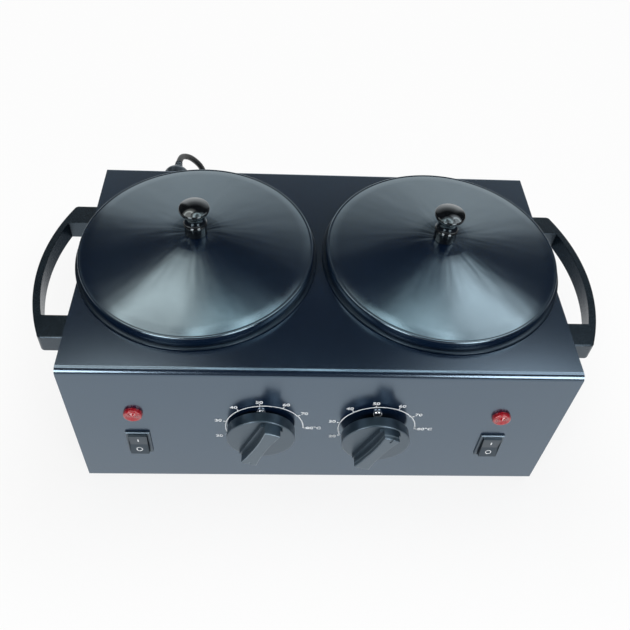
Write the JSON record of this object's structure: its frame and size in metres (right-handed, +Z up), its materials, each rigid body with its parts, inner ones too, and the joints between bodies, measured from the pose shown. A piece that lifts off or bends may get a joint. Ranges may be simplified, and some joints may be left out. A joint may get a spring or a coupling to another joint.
{
  "type": "double wax warmer",
  "caption": "Table-top double wax warmer: a sheet-metal case with two lidded lift-out pots, thermostat dials, power lamps, rocker switches, side handles and a mains cord.",
  "frame": {"origin": "on the floor under the middle of the object's outline, cord left aside", "axes": "+X to the right as seen from the front, +Y to the back, +Z up"},
  "size_m": [0.4886, 0.3481, 0.2274],
  "materials": {
    "case_paint": "satin",
    "lid_paint": "satin",
    "black_plastic": "matte",
    "knob_gloss": "glossy",
    "lamp_red": "glossy",
    "screw_chrome": "polished",
    "pot_aluminium": "satin",
    "pot_coating": "satin",
    "plated_steel": "satin",
    "foot_rubber": "matte",
    "felt": "matte",
    "contact_brass": "satin",
    "white_plastic": "matte",
    "cord_sheath": "satin"
  },
  "bodies": {
    "root": {"back_left_foot": "foot_rubber", "back_right_foot": "foot_rubber", "base_plate": "case_paint", "base_screws": "plated_steel", "cord_coil": "cord_sheath", "cord_gland": "black_plastic", "cord_tail": "cord_sheath", "foot_screws": "plated_steel", "front_left_foot": "foot_rubber", "front_right_foot": "foot_rubber", "gland_nut": "black_plastic", "handle_screws": "plated_steel", "housing_wrap": "case_paint", "left_handle": "black_plastic", "left_heater": "plated_steel", "left_insulation": "felt", "left_lamp_body": "black_plastic", "left_lamp_lens": "lamp_red", "left_sensor_bulb": "contact_brass", "left_side_panel": "case_paint", "left_switch_body": "black_plastic", "left_thermal_fuse": "plated_steel", "left_thermostat": "black_plastic", "left_well": "pot_aluminium", "mains_cord": "cord_sheath", "plug": "black_plastic", "plug_pins": "contact_brass", "right_handle": "black_plastic", "right_heater": "plated_steel", "right_insulation": "felt", "right_lamp_body": "black_plastic", "right_lamp_lens": "lamp_red", "right_sensor_bulb": "contact_brass", "right_side_panel": "case_paint", "right_switch_body": "black_plastic", "right_thermal_fuse": "plated_steel", "right_thermostat": "black_plastic", "right_well": "pot_aluminium", "terminal_block": "white_plastic", "thermostat_screws": "screw_chrome"},
    "left_pot": {"left_pot": "pot_coating"},
    "left_lid": {"left_lid": "lid_paint", "left_lid_knob": "knob_gloss", "left_lid_knob_screw": "plated_steel"},
    "left_dial": {"left_dial_knob": "black_plastic", "left_thermostat_shaft": "plated_steel"},
    "left_switch": {"left_rocker": "black_plastic"},
    "right_pot": {"right_pot": "pot_coating"},
    "right_lid": {"right_lid": "lid_paint", "right_lid_knob": "knob_gloss", "right_lid_knob_screw": "plated_steel"},
    "right_dial": {"right_dial_knob": "black_plastic", "right_thermostat_shaft": "plated_steel"},
    "right_switch": {"right_rocker": "black_plastic"}
  },
  "joints": [
    {"name": "left_pot_lift", "type": "slide", "parent": "root", "child": "left_pot", "axis": [0, 0, 1], "range_m": [0, 0.13]},
    {"name": "left_lid_lift", "type": "slide", "parent": "left_pot", "child": "left_lid", "axis": [0, 0, 1], "range_m": [0, 0.12]},
    {"name": "left_dial_turn", "type": "hinge", "parent": "root", "child": "left_dial", "pos_m": [-0.0467, -0.11275, 0.0935], "axis": [0, 1, 0], "range_deg": [0, 249]},
    {"name": "left_switch_rock", "type": "hinge", "parent": "root", "child": "left_switch", "pos_m": [-0.1484, -0.10075, 0.0685], "axis": [1, 0, 0], "range_deg": [0, 8]},
    {"name": "right_pot_lift", "type": "slide", "parent": "root", "child": "right_pot", "axis": [0, 0, 1], "range_m": [0, 0.13]},
    {"name": "right_lid_lift", "type": "slide", "parent": "right_pot", "child": "right_lid", "axis": [0, 0, 1], "range_m": [0, 0.12]},
    {"name": "right_dial_turn", "type": "hinge", "parent": "root", "child": "right_dial", "pos_m": [0.0467, -0.11275, 0.0935], "axis": [0, 1, 0], "range_deg": [-181, 69]},
    {"name": "right_switch_rock", "type": "hinge", "parent": "root", "child": "right_switch", "pos_m": [0.1484, -0.10075, 0.0685], "axis": [1, 0, 0], "range_deg": [0, 8]}
  ]
}
